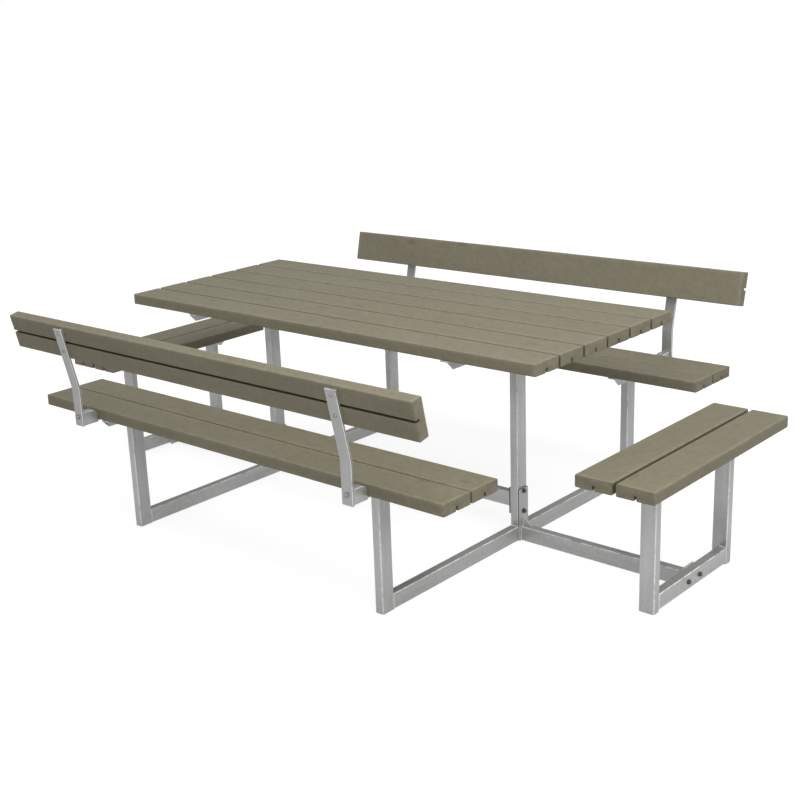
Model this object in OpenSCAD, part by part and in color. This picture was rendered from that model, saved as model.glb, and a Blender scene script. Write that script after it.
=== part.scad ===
// Four-sided picnic table: a plank top, two long benches with backrests and two end benches,
// carried by two transverse steel frames, a stretcher and two extension arms.
// +X runs along the table, +Y across it, +Z up. The origin is on the floor below the centre.

/* [Planks] */
// Width of every plank
plank_w = 118; // [96:1:145]
// Thickness of every plank
plank_t = 38; // [30:1:46]
// Rounding of the long plank edges
plank_r = 4; // [2:0.5:8]
// Width of the relief groove along each plank
groove_w = 7; // [4:1:10]
// Depth of the relief groove
groove_d = 15; // [8:1:18]

/* [Tabletop] */
// Length of the tabletop
table_l = 1770; // [1500:10:2300]
// Height of the tabletop's upper face
table_h = 730; // [660:5:880]
// Gap between tabletop planks
table_gap = 9; // [4:1:14]

/* [Long benches] */
// Length of the long benches and of their backrests
bench_l = 1770; // [1500:10:2300]
// Height of the seat's upper face
bench_h = 450; // [380:5:540]
// Gap between the two seat planks
bench_gap = 5; // [3:1:14]
// Clear distance from the tabletop's edge to the seat's inner edge, seen from above
bench_clear = 177.5; // [120:0.5:300]

/* [Backrests] */
// Lean of the backrest from the vertical, in degrees
lean = 12.5; // [8:0.5:16]
// Height above the seat at which the supports start to lean
bend_rise = 82; // [50:1:160]
// Radius of the bend on the outer side of a support
bend_r = 100; // [60:5:160]
// Distance along the lean from the bend to the plank's lower edge
back_rise = 112; // [60:1:150]
// Clear distance from the seat's outer edge to the supports
support_gap = 61; // [50:1:75]
// Width of a support
support_w = 40; // [32:1:48]
// Thickness of a support
support_t = 8; // [6:1:10]
// Distance from the top of a support to the plank's upper edge
support_short = 10; // [4:1:16]
// Side clearance between a main frame and the supports next to it
support_side = 10; // [6:1:40]

/* [Support brackets] */
// Height of a bracket
bracket_h = 45; // [40:1:54]
// Width of a bracket
bracket_w = 28; // [24:1:32]
// Plate thickness of a bracket
bracket_t = 4; // [3:0.5:5]
// Radius of a bracket's rounded shoulder
bracket_r = 22; // [14:1:26]
// Clearance between a bracket and the seat's edge
bracket_gap = 1; // [0.5:0.5:3]

/* [End benches] */
// Length of the end benches
end_l = 796; // [620:2:960]
// Height of the end seat's upper face
end_h = 446; // [380:2:540]
// Gap between the two end seat planks
end_gap = 11; // [6:1:20]
// Clear distance from the tabletop's end to the end seat's inner edge, seen from above
end_clear = 144; // [80:1:360]
// Distance between the outer faces of the two posts of an end bench
end_spread = 466; // [380:2:560]
// How far the posts stand outboard of the middle of the end seat
end_post_shift = 12; // [0:1:16]

/* [Steel] */
// Wide side of the steel tube
tube_w = 50; // [40:1:60]
// Narrow side of the steel tube
tube_n = 30; // [26:1:34]
// Wall of the steel tube
tube_wall = 2; // [1.5:0.5:3]
// Outer corner radius of the steel tube
tube_r = 4; // [3.5:0.5:6]
// Leg length of the steel angle below the planks
angle_leg = 30; // [26:1:36]
// Thickness of the steel angle
angle_t = 4; // [3:0.5:5]
// Thickness of the bolted end plates
plate_t = 5; // [4:0.5:8]

/* [Frames] */
// Distance from the tabletop's end to the outer face of a main frame
frame_inset = 311; // [180:1:380]
// Height of the stretcher's centre line
stretcher_h = 135; // [120:1:200]
// Clear height between the triangular gusset on an extension arm and the bolt above it
gusset_clear = 10; // [4:1:14]
// Length of the gusset along an extension arm
gusset_l = 35; // [20:1:60]
// Height of an end bench's cross tube above the floor
cross_lift = 6; // [0:1:12]
// Distance from an arm's centre line to the bolts of its end plate
end_bolt = 34; // [30:1:44]

/* [Fasteners] */
// Diameter of the wood screws
screw_d = 5; // [4:0.5:6]
// Wood left between the tip of a screw and the far face of its plank
screw_cover = 10; // [6:1:16]
// Clear distance between the head of a wood screw and the post next to it
screw_clear = 3.5; // [2:0.5:6]
// The same distance below the end benches
end_screw_clear = 2.5; // [1:0.5:5]
// Length of an end bench's angle bars past their outermost screws
end_bar_past = 9; // [6:1:12]
// Diameter of the coach screws that hold the backrests
coach_d = 6; // [5:0.5:8]
// Diameter of the bolts
bolt_d = 8; // [6:1:10]
// Distance of the coach screws from the edges of a backrest plank
coach_edge = 28; // [22:1:36]

/* [Hidden] */
$fn = 48;
eps = 0.01;
table_count = 6;
bench_count = 2;

wood = [0.49, 0.46, 0.38];
steel = [0.68, 0.69, 0.69];
zinc = [0.58, 0.59, 0.60];

table_w = table_count * plank_w + (table_count - 1) * table_gap;
bench_w = bench_count * plank_w + (bench_count - 1) * bench_gap;
end_w = bench_count * plank_w + (bench_count - 1) * end_gap;
bench_in = table_w / 2 + bench_clear;
bench_out = bench_in + bench_w;
bench_mid = bench_in + bench_w / 2;
end_in = table_l / 2 + end_clear;
end_mid = end_in + end_w / 2;

table_under = table_h - plank_t;
bench_under = bench_h - plank_t;
end_under = end_h - plank_t;

frame_out = table_l / 2 - frame_inset;
frame_mid = frame_out - tube_n / 2;
frame_in = frame_out - tube_n;
floor_half = bench_mid - tube_w / 2;
beam_x = frame_out + angle_t - angle_leg / 2;
screw_x = frame_mid;

end_post_x = end_mid + end_post_shift;
end_out = end_post_x + tube_w / 2;
end_post_y = (end_spread - tube_n) / 2;
end_post_in = end_post_y - tube_n / 2;
end_beam_y = end_post_in - angle_t + angle_leg / 2;
cross_x = end_out - tube_n / 2;
cross_mid_h = cross_lift + tube_w / 2;
arm_start = frame_out + plate_t;
arm_end = end_out - tube_n - plate_t;

support_in = bench_out + support_gap;
support_out = support_in + support_t;
support_x = frame_out + angle_t + support_side + support_w / 2;
support_foot = bench_under - 2 * bracket_t;
bend_h = bench_h + bend_rise;
bend_tangent = bend_r * tan(lean / 2);
back_top = back_rise + plank_w;
back_mid = back_rise + plank_w / 2;
support_top = back_top - support_short;
bracket_foot_in = bench_out - plank_w + 8;

stretcher_half = frame_in - plate_t;
stretcher_bolt = tube_w / 2 + bolt_d + 2;
stretcher_plate_h = 2 * stretcher_bolt + 20;
post_plate_h = stretcher_h + stretcher_plate_h / 2 - 2;
gusset_h = stretcher_h - stretcher_bolt - bolt_d - gusset_clear - tube_w;
end_plate_w = 2 * end_bolt + 36;
end_plate_h = cross_lift + tube_w;
cap_t = 3;

screw_head_h = 3;
screw_bite = plank_t - screw_cover;
screw_side = (plank_w + min(table_gap, bench_gap) - tube_w) / 2 - screw_d - screw_clear;
end_screw_side = (plank_w + end_gap - tube_w) / 2 - end_post_shift - screw_d - end_screw_clear;
end_bar_l = plank_w + end_gap + 2 * (end_screw_side + end_bar_past);
coach_side = plank_w / 2 - coach_edge;
bolt_head_d = 13 / cos(30) * bolt_d / 8;
bolt_head_h = 0.65 * bolt_d;
washer_d = 2 * bolt_d;
washer_t = 1.5;
bracket_bolt_h = support_foot + bracket_h - bracket_t - washer_d / 2 - 1.5;

// ---------- shared outlines and shapes ----------

// A rectangle with round corners, centred
module round_rect(w, h, r) {
    square([w - 2 * r, h], center = true);
    square([w, h - 2 * r], center = true);
    for (x = [-1, 1], y = [-1, 1])
        translate([x * (w / 2 - r), y * (h / 2 - r)]) circle(r);
}

// Section of a plank, groove side down
module plank_section() {
    difference() {
        round_rect(plank_w, plank_t, plank_r);
        translate([0, -plank_t / 2]) square([groove_w, 2 * groove_d], center = true);
    }
}

// Section of the steel tube, a wide and b deep
module tube_section(a, b) {
    difference() {
        round_rect(a, b, tube_r);
        round_rect(a - 2 * tube_wall, b - 2 * tube_wall, tube_r - tube_wall);
    }
}

// Turns an outline drawn in Y and Z into a bar along X, centred on x = 0
module along_x(l) {
    rotate([90, 0, 90]) linear_extrude(l, center = true) children();
}

// Turns an outline drawn in X and Z into a bar along Y, centred on y = 0
module along_y(l) {
    rotate([90, 0, 0]) linear_extrude(l, center = true) children();
}

// Mirrors what was drawn for the right and far side to the side that is asked for
module on_side(x, y) {
    mirror([x < 0 ? 1 : 0, 0, 0]) mirror([0, y < 0 ? 1 : 0, 0]) children();
}

// Upright tube from z = low to z = high, a wide in X and b wide in Y
module upright(a, b, low, high) {
    translate([0, 0, low]) linear_extrude(high - low) tube_section(a, b);
}

// Angle bar of length l along Y under the planks: its upright leg on the +X side has bevelled ends
module angle_bar(l) {
    difference() {
        translate([-angle_leg / 2, -l / 2, -angle_leg]) cube([angle_leg, l, angle_leg]);
        translate([-angle_leg / 2 - eps, -l / 2 - eps, -angle_leg - eps])
            cube([angle_leg - angle_t + eps, l + 2 * eps, angle_leg - angle_t + eps]);
        for (e = [-1, 1])
            translate([0, e * l / 2, -angle_leg]) rotate([45, 0, 0])
                cube([angle_leg + 2, (angle_leg - angle_t) * sqrt(2), (angle_leg - angle_t) * sqrt(2)],
                    center = true);
    }
}

// Wood screw whose head bears on z = 0 from below, with its tip at z = l
module wood_screw(l, d) {
    translate([0, 0, -screw_head_h]) cylinder(h = screw_head_h, d = 2 * d);
    cylinder(h = l, d = d);
}

// Bolt along +X with its head on x = 0, its washer and nut on x = grip
module bolt(grip) {
    rotate([0, 90, 0]) {
        translate([0, 0, -washer_t]) cylinder(h = washer_t, d = washer_d);
        translate([0, 0, -washer_t - bolt_head_h]) cylinder(h = bolt_head_h, d = bolt_head_d, $fn = 6);
        translate([0, 0, -washer_t]) cylinder(h = grip + 2 * washer_t + bolt_head_h + 3, d = bolt_d);
        translate([0, 0, grip]) cylinder(h = washer_t, d = washer_d);
        translate([0, 0, grip + washer_t]) cylinder(h = bolt_head_h, d = bolt_head_d, $fn = 6);
    }
}

// ---------- where the fasteners stand ----------

function table_plank_y(i) = (i - (table_count - 1) / 2) * (plank_w + table_gap);
function bench_plank_y(outer) = outer ? bench_out - plank_w / 2 : bench_in + plank_w / 2;
function end_plank_x(outer) = outer ? end_in + end_w - plank_w / 2 : end_in + plank_w / 2;

// Holes for the wood screws of one long plank at both main frames
module long_plank_holes(under) {
    for (x = [-1, 1], s = [-1, 1])
        translate([x * screw_x, s * screw_side, under - 1]) cylinder(h = screw_bite + 1, d = screw_d);
}

// Coach screws or their holes along the lean of the right far support, in the plank's own frame
module at_coach_screws() {
    for (s = [-1, 1])
        lean_frame() translate([0, 0, back_mid + s * coach_side]) rotate([90, 0, 0]) children();
}

// Frame of the leaning part: +Z runs up the support and y = 0 is its outer face
module lean_frame() {
    translate([0, support_out, bend_h]) rotate([-lean, 0, 0]) children();
}

// ---------- planks ----------

module table_plank(i) {
    color(wood) translate([0, table_plank_y(i), 0]) difference() {
        translate([0, 0, table_h - plank_t / 2]) along_x(table_l) plank_section();
        long_plank_holes(table_under);
    }
}

module seat_plank(row, outer) {
    color(wood) on_side(1, row) translate([0, bench_plank_y(outer), 0]) difference() {
        translate([0, 0, bench_h - plank_t / 2]) along_x(bench_l) plank_section();
        long_plank_holes(bench_under);
        if (outer)
            for (x = [-1, 1], s = [-1, 1])
                translate([x * support_x, s * screw_side, bench_under - 1])
                    cylinder(h = screw_bite + 1, d = screw_d);
    }
}

module end_seat_plank(side, outer) {
    color(wood) on_side(side, 1) translate([end_plank_x(outer), 0, 0]) difference() {
        translate([0, 0, end_h - plank_t / 2]) along_y(end_l) plank_section();
        for (y = [-1, 1], s = [-1, 1])
            translate([s * end_screw_side, y * end_post_y, end_under - 1])
                cylinder(h = screw_bite + 1, d = screw_d);
    }
}

module backrest_plank(row) {
    color(wood) on_side(1, row) difference() {
        lean_frame() translate([0, -support_t - plank_t / 2, back_mid])
            rotate([90, 0, 0]) along_x(bench_l) plank_section();
        for (x = [-1, 1]) translate([x * support_x, 0, 0])
            at_coach_screws() cylinder(h = support_t + screw_bite, d = coach_d);
    }
}

// ---------- main frames ----------

module floor_tube(side) {
    color(steel) on_side(side, 1) translate([frame_mid, 0, tube_w / 2])
        along_y(2 * floor_half) tube_section(tube_n, tube_w);
}

module tall_post(side) {
    color(steel) on_side(side, 1) translate([frame_mid, 0, 0]) difference() {
        upright(tube_n, tube_w, tube_w, table_under - angle_t);
        for (s = [-1, 1])
            translate([0, 0, stretcher_h + s * stretcher_bolt]) rotate([0, 90, 0])
                cylinder(h = 2 * tube_n, d = bolt_d, center = true);
    }
}

module bench_post(side, row) {
    color(steel) on_side(side, row) translate([frame_mid, bench_mid, 0])
        upright(tube_n, tube_w, 0, bench_under - angle_t);
}

module table_beam(side) {
    color(steel) on_side(side, 1) difference() {
        translate([beam_x, 0, table_under]) angle_bar(table_w);
        for (i = [0 : table_count - 1]) translate([0, table_plank_y(i), 0])
            long_plank_holes(table_under - angle_leg / 2);
    }
}

module seat_arm(side, row) {
    color(steel) on_side(side, row) difference() {
        translate([beam_x, bench_mid, bench_under]) angle_bar(bench_w);
        for (outer = [false, true]) translate([0, bench_plank_y(outer), 0])
            long_plank_holes(bench_under - angle_leg / 2);
    }
}

// ---------- stretcher and extension arms ----------

module stretcher() {
    color(steel) translate([0, 0, stretcher_h]) along_x(2 * stretcher_half) tube_section(tube_n, tube_w);
}

module stretcher_end_plates() {
    color(steel) for (side = [-1, 1]) on_side(side, 1) difference() {
        translate([stretcher_half, -tube_w / 2, stretcher_h - stretcher_plate_h / 2])
            cube([plate_t, tube_w, stretcher_plate_h]);
        for (s = [-1, 1])
            translate([stretcher_half, 0, stretcher_h + s * stretcher_bolt]) rotate([0, 90, 0])
                cylinder(h = 4 * plate_t, d = bolt_d, center = true);
    }
}

module extension_arm(side) {
    color(steel) on_side(side, 1) translate([(arm_start + arm_end) / 2, 0, tube_w / 2])
        along_x(arm_end - arm_start) tube_section(tube_n, tube_w);
}

module post_plate(side) {
    color(steel) on_side(side, 1) {
        difference() {
            translate([frame_out, -tube_w / 2, 0]) cube([plate_t, tube_w, post_plate_h]);
            for (s = [-1, 1])
                translate([frame_out, 0, stretcher_h + s * stretcher_bolt]) rotate([0, 90, 0])
                    cylinder(h = 4 * plate_t, d = bolt_d, center = true);
        }
        translate([arm_start, 0, tube_w]) along_y(plate_t)
            polygon([[-eps, 0], [gusset_l, 0], [-eps, gusset_h]]);
    }
}

module arm_end_plates() {
    color(steel) for (side = [-1, 1]) on_side(side, 1) difference() {
        translate([arm_end, -end_plate_w / 2, 0]) cube([plate_t, end_plate_w, end_plate_h]);
        for (s = [-1, 1])
            translate([arm_end, s * end_bolt, cross_mid_h]) rotate([0, 90, 0])
                cylinder(h = 4 * plate_t, d = bolt_d, center = true);
    }
}

// ---------- end benches ----------

module end_post(side, row) {
    color(steel) on_side(side, row) translate([end_post_x, end_post_y, 0])
        upright(tube_w, tube_n, 0, end_under - angle_t);
}

module cross_tube(side) {
    color(steel) on_side(side, 1) difference() {
        translate([cross_x, 0, cross_mid_h]) along_y(2 * end_post_in) tube_section(tube_n, tube_w);
        for (s = [-1, 1])
            translate([cross_x, s * end_bolt, cross_mid_h]) rotate([0, 90, 0])
                cylinder(h = 2 * tube_n, d = bolt_d, center = true);
    }
}

module end_seat_arm(side, row) {
    color(steel) on_side(side, row) difference() {
        translate([end_mid, end_beam_y, end_under]) rotate([0, 0, -90]) angle_bar(end_bar_l);
        for (outer = [false, true], s = [-1, 1])
            translate([end_plank_x(outer) + s * end_screw_side, end_post_y, end_under])
                cylinder(h = 4 * angle_t, d = screw_d, center = true);
    }
}

// ---------- backrest supports ----------

// Outline of a support in Y and Z: a straight foot, a bend and a leaning top
module support_section() {
    bend_start = bend_h - bend_tangent;
    translate([support_in, support_foot]) square([support_t, bend_start + eps - support_foot]);
    translate([support_out + bend_r, bend_start]) intersection() {
        difference() {
            circle(bend_r + support_t, $fn = 180);
            circle(bend_r, $fn = 180);
        }
        polygon([[0, 0], 2 * bend_r * [-1, 0], 2 * bend_r * [-cos(lean), sin(lean)]]);
    }
    translate([support_out, bend_h]) rotate(-lean)
        translate([-support_t, bend_tangent - eps])
            square([support_t, support_top + eps - bend_tangent]);
}

module support(side, row) {
    color(steel) on_side(side, row) translate([support_x, 0, 0]) difference() {
        along_x(support_w) support_section();
        translate([0, support_in, bracket_bolt_h]) rotate([90, 0, 0])
            cylinder(h = 4 * support_t, d = bolt_d, center = true);
        at_coach_screws() cylinder(h = 4 * support_t, d = coach_d, center = true);
    }
}

// Outline of a bracket in Y and Z, drawn from its lower outer corner inwards and inset by t
module bracket_section(t) {
    deep = support_in - bench_out - bracket_gap;
    r = bracket_r - t;
    difference() {
        translate([t - deep, t]) square([deep - 2 * t, bracket_h - 2 * t]);
        translate([t - deep + r, bracket_h - t - r]) difference() {
            translate([-2 * r, 0]) square(2 * r);
            circle(r);
        }
    }
}

module support_brackets() {
    color(steel) for (side = [-1, 1], row = [-1, 1])
        on_side(side, row) translate([support_x, 0, 0]) difference() {
            union() {
                translate([0, support_in, support_foot]) along_x(bracket_w) bracket_section(0);
                translate([-bracket_w / 2, bracket_foot_in, bench_under - bracket_t])
                    cube([bracket_w, bench_out + 2 * bracket_t - bracket_foot_in, bracket_t]);
            }
            translate([0, support_in, support_foot]) along_x(bracket_w - 2 * bracket_t)
                bracket_section(bracket_t);
            translate([0, support_in - (support_gap - bracket_gap) / 2, support_foot])
                cube([bracket_w - 2 * bracket_t, support_gap - bracket_gap - 4 * bracket_t, 4 * bracket_t],
                    center = true);
            translate([0, support_in, bracket_bolt_h]) rotate([90, 0, 0])
                cylinder(h = 4 * bracket_t, d = bolt_d, center = true);
            for (s = [-1, 1])
                translate([0, bench_plank_y(true) + s * screw_side, bench_under])
                    cylinder(h = 4 * bracket_t, d = screw_d, center = true);
        }
}

module tube_caps() {
    a = tube_n - 2 * tube_wall;
    b = tube_w - 2 * tube_wall;
    r = tube_r - tube_wall;
    color(steel) for (side = [-1, 1], row = [-1, 1]) on_side(side, row) {
        translate([frame_mid, bench_mid, 0]) linear_extrude(cap_t) round_rect(a, b, r);
        translate([end_post_x, end_post_y, 0]) linear_extrude(cap_t) round_rect(b, a, r);
    }
}

// ---------- fasteners ----------

module table_screws() {
    color(zinc) for (side = [-1, 1], i = [0 : table_count - 1], s = [-1, 1])
        translate([side * screw_x, table_plank_y(i) + s * screw_side, table_under - angle_t])
            wood_screw(angle_t + screw_bite, screw_d);
}

module bench_screws() {
    color(zinc) for (side = [-1, 1], row = [-1, 1], s = [-1, 1]) on_side(side, row) {
        for (outer = [false, true])
            translate([screw_x, bench_plank_y(outer) + s * screw_side, bench_under - angle_t])
                wood_screw(angle_t + screw_bite, screw_d);
        translate([support_x, bench_plank_y(true) + s * screw_side, bench_under - bracket_t])
            wood_screw(bracket_t + screw_bite, screw_d);
    }
}

module end_bench_screws() {
    color(zinc) for (side = [-1, 1], row = [-1, 1], s = [-1, 1], outer = [false, true])
        on_side(side, row)
            translate([end_plank_x(outer) + s * end_screw_side, end_post_y, end_under - angle_t])
                wood_screw(angle_t + screw_bite, screw_d);
}

module backrest_screws() {
    color(zinc) for (side = [-1, 1], row = [-1, 1])
        on_side(side, row) translate([support_x, 0, 0])
            at_coach_screws() wood_screw(support_t + screw_bite, coach_d);
}

module bracket_bolts() {
    color(zinc) for (side = [-1, 1], row = [-1, 1])
        on_side(side, row) translate([support_x, support_out, bracket_bolt_h])
            rotate([0, 0, -90]) bolt(support_t + bracket_t);
}

module post_bolts() {
    color(zinc) for (side = [-1, 1], s = [-1, 1])
        on_side(side, 1) translate([arm_start, 0, stretcher_h + s * stretcher_bolt])
            mirror([1, 0, 0]) bolt(tube_n + 2 * plate_t);
}

module end_plate_bolts() {
    color(zinc) for (side = [-1, 1], s = [-1, 1])
        on_side(side, 1) translate([end_out, s * end_bolt, cross_mid_h])
            mirror([1, 0, 0]) bolt(tube_n + plate_t);
}

table_plank(0);  // table_plank_1
table_plank(1);  // table_plank_2
table_plank(2);  // table_plank_3
table_plank(3);  // table_plank_4
table_plank(4);  // table_plank_5
table_plank(5);  // table_plank_6
seat_plank(-1, true);  // near_seat_plank_outer
seat_plank(-1, false);  // near_seat_plank_inner
seat_plank(1, false);  // far_seat_plank_inner
seat_plank(1, true);  // far_seat_plank_outer
end_seat_plank(-1, true);  // left_seat_plank_outer
end_seat_plank(-1, false);  // left_seat_plank_inner
end_seat_plank(1, false);  // right_seat_plank_inner
end_seat_plank(1, true);  // right_seat_plank_outer
backrest_plank(-1);  // near_backrest_plank
backrest_plank(1);  // far_backrest_plank
floor_tube(-1);  // left_floor_tube
floor_tube(1);  // right_floor_tube
tall_post(-1);  // left_tall_post
tall_post(1);  // right_tall_post
bench_post(-1, -1);  // left_near_bench_post
bench_post(-1, 1);  // left_far_bench_post
bench_post(1, -1);  // right_near_bench_post
bench_post(1, 1);  // right_far_bench_post
table_beam(-1);  // left_table_beam
table_beam(1);  // right_table_beam
seat_arm(-1, -1);  // left_near_seat_arm
seat_arm(-1, 1);  // left_far_seat_arm
seat_arm(1, -1);  // right_near_seat_arm
seat_arm(1, 1);  // right_far_seat_arm
stretcher();
stretcher_end_plates();
extension_arm(-1);  // left_extension_arm
extension_arm(1);  // right_extension_arm
post_plate(-1);  // left_post_plate
post_plate(1);  // right_post_plate
arm_end_plates();
end_post(-1, -1);  // left_end_post_near
end_post(-1, 1);  // left_end_post_far
end_post(1, -1);  // right_end_post_near
end_post(1, 1);  // right_end_post_far
cross_tube(-1);  // left_cross_tube
cross_tube(1);  // right_cross_tube
end_seat_arm(-1, -1);  // left_end_seat_arm_near
end_seat_arm(-1, 1);  // left_end_seat_arm_far
end_seat_arm(1, -1);  // right_end_seat_arm_near
end_seat_arm(1, 1);  // right_end_seat_arm_far
support(-1, -1);  // left_near_support
support(-1, 1);  // left_far_support
support(1, -1);  // right_near_support
support(1, 1);  // right_far_support
support_brackets();
tube_caps();
table_screws();
bench_screws();
end_bench_screws();
backrest_screws();
bracket_bolts();
post_bolts();
end_plate_bolts();
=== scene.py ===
import math

import bmesh
import bpy
import numpy as np
from bpy.props import FloatProperty, FloatVectorProperty, IntProperty, PointerProperty
from mathutils import Matrix, Vector


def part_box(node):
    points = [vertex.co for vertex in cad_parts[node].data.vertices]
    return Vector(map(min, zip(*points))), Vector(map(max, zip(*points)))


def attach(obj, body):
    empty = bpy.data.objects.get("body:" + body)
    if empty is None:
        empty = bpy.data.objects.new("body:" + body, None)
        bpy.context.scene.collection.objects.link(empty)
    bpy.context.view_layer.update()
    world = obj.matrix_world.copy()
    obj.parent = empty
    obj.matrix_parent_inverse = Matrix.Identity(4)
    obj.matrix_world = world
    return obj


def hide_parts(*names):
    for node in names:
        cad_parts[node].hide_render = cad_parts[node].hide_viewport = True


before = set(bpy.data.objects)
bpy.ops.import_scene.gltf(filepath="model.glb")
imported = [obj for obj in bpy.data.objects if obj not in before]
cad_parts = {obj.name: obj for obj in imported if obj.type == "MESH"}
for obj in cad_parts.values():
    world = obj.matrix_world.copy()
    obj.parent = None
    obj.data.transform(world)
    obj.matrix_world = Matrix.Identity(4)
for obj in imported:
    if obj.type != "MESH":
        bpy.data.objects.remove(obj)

bl_info = {
    "name": "Picnic Table Builder",
    "version": (1, 0, 0),
    "blender": (4, 5, 0),
    "location": "3D Viewport > Sidebar > Picnic Table",
    "description": "Builds a four-sided picnic table of stained planks on galvanised steel frames",
    "category": "Add Mesh",
}

MM = 0.001
ROOT = "root"
WOOD_SLOT = "stained_wood"
STEEL_SLOT = "galvanised_steel"
ZINC_SLOT = "zinc_fasteners"
HOLE_EDGE = 0.8 * MM  # shorter edges belong to round holes and bends, and stay as they are
PLATE_REACH = 5.4 * MM  # how far the faces of a plate on a post stand out from the post
SCREW_HEAD = 3 * MM
WASHER = 1.5 * MM
BOLT_PAST_NUT = 3 * MM
FLOOR_HALF = 400.0
GLOSSY_FLOOR = 0.5  # share of the floor's glow that shiny steel sees
GLOSSY_SKY = 0.62  # share of the sky that shiny steel sees
KEY_PLACE, KEY_SIZE = (2.2, -1.6, 4.2), 3.6
FILL_PLACE, FILL_SIZE, FILL_SHARE = (4.2, 1.2, 3.0), 2.5, 0.15
RING_WIDTH = 5.2 * MM
PITH_DEPTH = 70 * MM

SIDES = ("left", "right")
ROWS = ("near", "far")
PLACES = ("outer", "inner")
TABLE_PLANKS = [f"table_plank_{i}" for i in range(1, 7)]
SEAT_PLANKS = [f"{row}_seat_plank_{place}" for row in ROWS for place in PLACES]
END_PLANKS = [f"{side}_seat_plank_{place}" for side in SIDES for place in PLACES]
BACKREST_PLANKS = [f"{row}_backrest_plank" for row in ROWS]
FLOOR_TUBES = [f"{side}_floor_tube" for side in SIDES]
TALL_POSTS = [f"{side}_tall_post" for side in SIDES]
BENCH_POSTS = [f"{side}_{row}_bench_post" for side in SIDES for row in ROWS]
END_POSTS = [f"{side}_end_post_{row}" for side in SIDES for row in ROWS]
CROSS_TUBES = [f"{side}_cross_tube" for side in SIDES]
ARMS = [f"{side}_extension_arm" for side in SIDES]
TABLE_BEAMS = [f"{side}_table_beam" for side in SIDES]
SEAT_ARMS = [f"{side}_{row}_seat_arm" for side in SIDES for row in ROWS]
END_SEAT_ARMS = [f"{side}_end_seat_arm_{row}" for side in SIDES for row in ROWS]
SUPPORTS = [f"{side}_{row}_support" for side in SIDES for row in ROWS]
POST_PLATES = [f"{side}_post_plate" for side in SIDES]


# ---------- sizes and colours a user would change ----------

class PlankSettings(bpy.types.PropertyGroup):
    """Sizes and stain of the planks."""

    edge_round: FloatProperty(
        name="Edge rounding", description="Radius of the planks' long edges", default=4 * MM, min=1 * MM,
        max=8 * MM, unit="LENGTH")
    end_ease: FloatProperty(
        name="End easing", description="Rounding of the sawn ends", default=1.6 * MM, min=0.5 * MM,
        max=4 * MM, unit="LENGTH")
    groove_width: FloatProperty(
        name="Groove width", description="Width of the relief groove", default=7 * MM, min=3 * MM,
        max=12 * MM, unit="LENGTH")
    groove_depth: FloatProperty(
        name="Groove depth", description="Depth of the relief groove", default=15 * MM, min=5 * MM,
        max=20 * MM, unit="LENGTH")
    waviness: FloatProperty(
        name="Waviness", description="How far the planed faces sink below true", default=0.45 * MM, min=0.0,
        max=2 * MM, unit="LENGTH")
    lean: FloatProperty(
        name="Backrest lean", description="Lean of the backrest from the vertical",
        default=math.radians(12.5), min=0.0, max=math.radians(25), subtype="ANGLE")
    stain_light: FloatVectorProperty(
        name="Light stain", description="Stain between the growth rings", default=(0.232, 0.212, 0.146),
        min=0.0, max=1.0, subtype="COLOR")
    stain_dark: FloatVectorProperty(
        name="Dark stain", description="Stain on late wood and in hollows", default=(0.150, 0.132, 0.080),
        min=0.0, max=1.0, subtype="COLOR")
    knot_colour: FloatVectorProperty(
        name="Knots", description="Colour of the knots", default=(0.120, 0.096, 0.062), min=0.0, max=1.0,
        subtype="COLOR")
    # colour of the dirt in the grooves and of the painted shade on plank sides in the gaps
    dirt_and_shade_colour: FloatVectorProperty(
        name="Dirt and painted shade", description="Colour of the dirt in grooves and of the painted shade in gaps", default=(0.075, 0.060, 0.034),
        min=0.0, max=1.0, subtype="COLOR")


class SteelSettings(bpy.types.PropertyGroup):
    """Sizes and finish of the steel frames."""

    wall: FloatProperty(
        name="Tube wall", description="Wall thickness of the steel tube", default=2 * MM, min=1 * MM,
        max=4 * MM, unit="LENGTH")
    corner: FloatProperty(
        name="Tube corner", description="Outer corner radius of the steel tube", default=4 * MM, min=2 * MM,
        max=8 * MM, unit="LENGTH")
    plate_ease: FloatProperty(
        name="Plate easing", description="Rounding of cut plate and bar edges", default=0.7 * MM,
        min=0.2 * MM, max=2 * MM, unit="LENGTH")
    bead: FloatProperty(
        name="Weld bead", description="Radius of the weld beads", default=2.2 * MM, min=1 * MM,
        max=5 * MM, unit="LENGTH")
    zinc_light: FloatVectorProperty(
        name="Light zinc", description="Brightest crystals of the zinc coat", default=(0.72, 0.725, 0.72),
        min=0.0, max=1.0, subtype="COLOR")
    zinc_dark: FloatVectorProperty(
        name="Dark zinc", description="Darkest crystals of the zinc coat", default=(0.44, 0.445, 0.44),
        min=0.0, max=1.0, subtype="COLOR")
    fastener_light: FloatVectorProperty(
        name="Light fasteners", description="Brightest plated screws and bolts", default=(0.78, 0.78, 0.76),
        min=0.0, max=1.0, subtype="COLOR")
    fastener_dark: FloatVectorProperty(
        name="Dark fasteners", description="Dullest plated screws and bolts", default=(0.12, 0.12, 0.115),
        min=0.0, max=1.0, subtype="COLOR")


class FastenerSettings(bpy.types.PropertyGroup):
    """Sizes of the screws and bolts."""

    screw_d: FloatProperty(
        name="Wood screw", description="Diameter of the wood screws", default=5 * MM, min=3 * MM,
        max=8 * MM, unit="LENGTH")
    coach_d: FloatProperty(
        name="Coach screw", description="Diameter of the backrest screws", default=6 * MM, min=4 * MM,
        max=10 * MM, unit="LENGTH")
    bolt_d: FloatProperty(
        name="Bolt", description="Diameter of the bolts", default=8 * MM, min=5 * MM, max=12 * MM,
        unit="LENGTH")
    seed: IntProperty(name="Seed", description="Turns the heads differently", default=7, min=0)


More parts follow.
